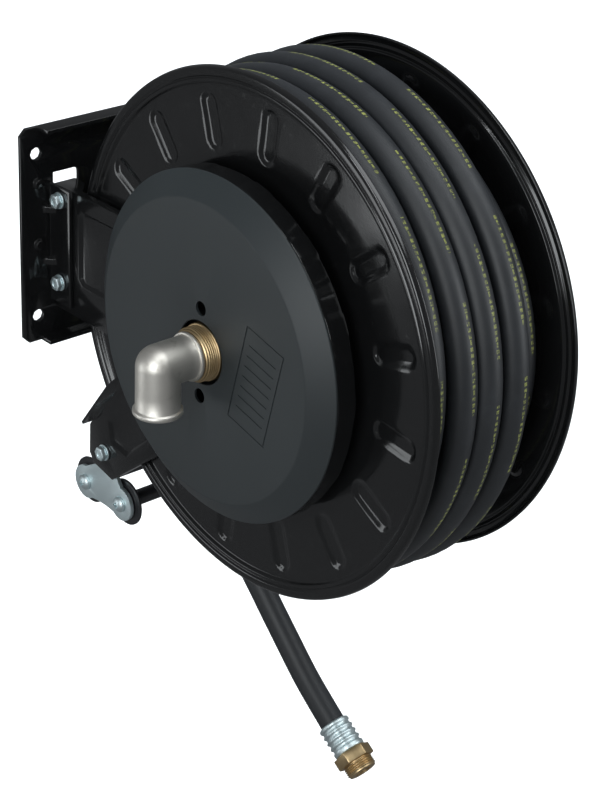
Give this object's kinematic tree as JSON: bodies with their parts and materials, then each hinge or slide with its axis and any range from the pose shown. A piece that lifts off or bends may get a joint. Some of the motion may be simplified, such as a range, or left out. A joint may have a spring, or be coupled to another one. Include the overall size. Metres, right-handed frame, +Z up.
{
  "type": "hose reel",
  "caption": "Wall-mounted spring-rewind hose reel: open drum between pressed side arms, swivel inlet elbow on the axis, guide rollers under the drum, crimped and threaded hose end.",
  "frame": {"origin": "centre of the wall plate's back face, where it meets the wall", "axes": "+Z up, +Y out of the back face into the wall, +X along the drum axis away from the inlet elbow"},
  "size_m": [0.344, 0.534, 0.7882],
  "materials": {
    "gloss_black": "gloss black paint",
    "matt_grey": "matt blue-grey textured paint",
    "zinc": "bright zinc plating",
    "nickel": "satin nickel plating",
    "brass": "machined brass",
    "steel": "plain machined steel",
    "black_plastic": "moulded black plastic",
    "hose_rubber": "matt ribbed rubber",
    "seal_rubber": "smooth black rubber"
  },
  "bodies": {
    "frame": {"wall_plate": "gloss_black", "side_arm_far": "gloss_black", "side_arm_near": "gloss_black", "guide_arm_far": "gloss_black", "guide_arm_near": "gloss_black", "roller_plate_far": "zinc", "roller_plate_near": "zinc", "roller_pin_rear": "steel", "roller_pin_front": "steel", "roller_screw_rear_far": "zinc", "roller_screw_rear_near": "zinc", "roller_screw_front_far": "zinc", "roller_screw_front_near": "zinc", "arm_upper_bolt_far": "zinc", "arm_upper_bolt_near": "zinc", "arm_upper_washer_far": "zinc", "arm_upper_washer_near": "zinc", "arm_upper_nut_far": "zinc", "arm_upper_nut_near": "zinc", "arm_lower_bolt_far": "zinc", "arm_lower_bolt_near": "zinc", "arm_lower_washer_far": "zinc", "arm_lower_washer_near": "zinc", "arm_lower_nut_far": "zinc", "arm_lower_nut_near": "zinc", "guide_bolt_far": "zinc", "guide_bolt_near": "zinc", "guide_washer_far": "zinc", "guide_washer_near": "zinc", "guide_nut_far": "zinc", "guide_nut_near": "zinc", "housing_far": "gloss_black", "housing_near": "gloss_black", "cover_near": "matt_grey", "cover_far": "matt_grey", "bearing_far": "brass", "bearing_near": "brass", "pawl_pin": "steel", "pawl_spring": "steel", "swivel_body": "brass", "seal_ring": "seal_rubber", "inlet_elbow": "nickel", "hose_tail": "hose_rubber", "ferrule": "zinc", "outlet_fitting": "brass"},
    "drum": {"shaft": "steel", "drum_hub_far": "gloss_black", "drum_hub_near": "gloss_black", "drum_flange_far": "gloss_black", "drum_flange_near": "gloss_black", "drum_core": "gloss_black", "feed_pipe": "steel", "hose_adapter": "brass", "hose_winding": "hose_rubber", "spring_arbor": "steel", "rewind_spring": "steel", "ratchet_wheel": "steel"},
    "roller_rear": {"roller_rear": "black_plastic"},
    "roller_front": {"roller_front": "black_plastic"},
    "pawl": {"pawl": "steel"}
  },
  "joints": [
    {"name": "drum_spin", "type": "hinge", "parent": "frame", "child": "drum", "pos_m": [0, -0.284, -0.014], "axis": [1, 0, 0], "continuous": true},
    {"name": "roller_rear_spin", "type": "hinge", "parent": "frame", "child": "roller_rear", "pos_m": [0, -0.0491, -0.2623], "axis": [1, 0, 0], "continuous": true},
    {"name": "roller_front_spin", "type": "hinge", "parent": "frame", "child": "roller_front", "pos_m": [0, -0.1077, -0.2623], "axis": [1, 0, 0], "continuous": true},
    {"name": "pawl_swing", "type": "hinge", "parent": "frame", "child": "pawl", "pos_m": [-0.109, -0.246, 0.07], "axis": [1, 0, 0], "range_deg": [0, 20]}
  ]
}
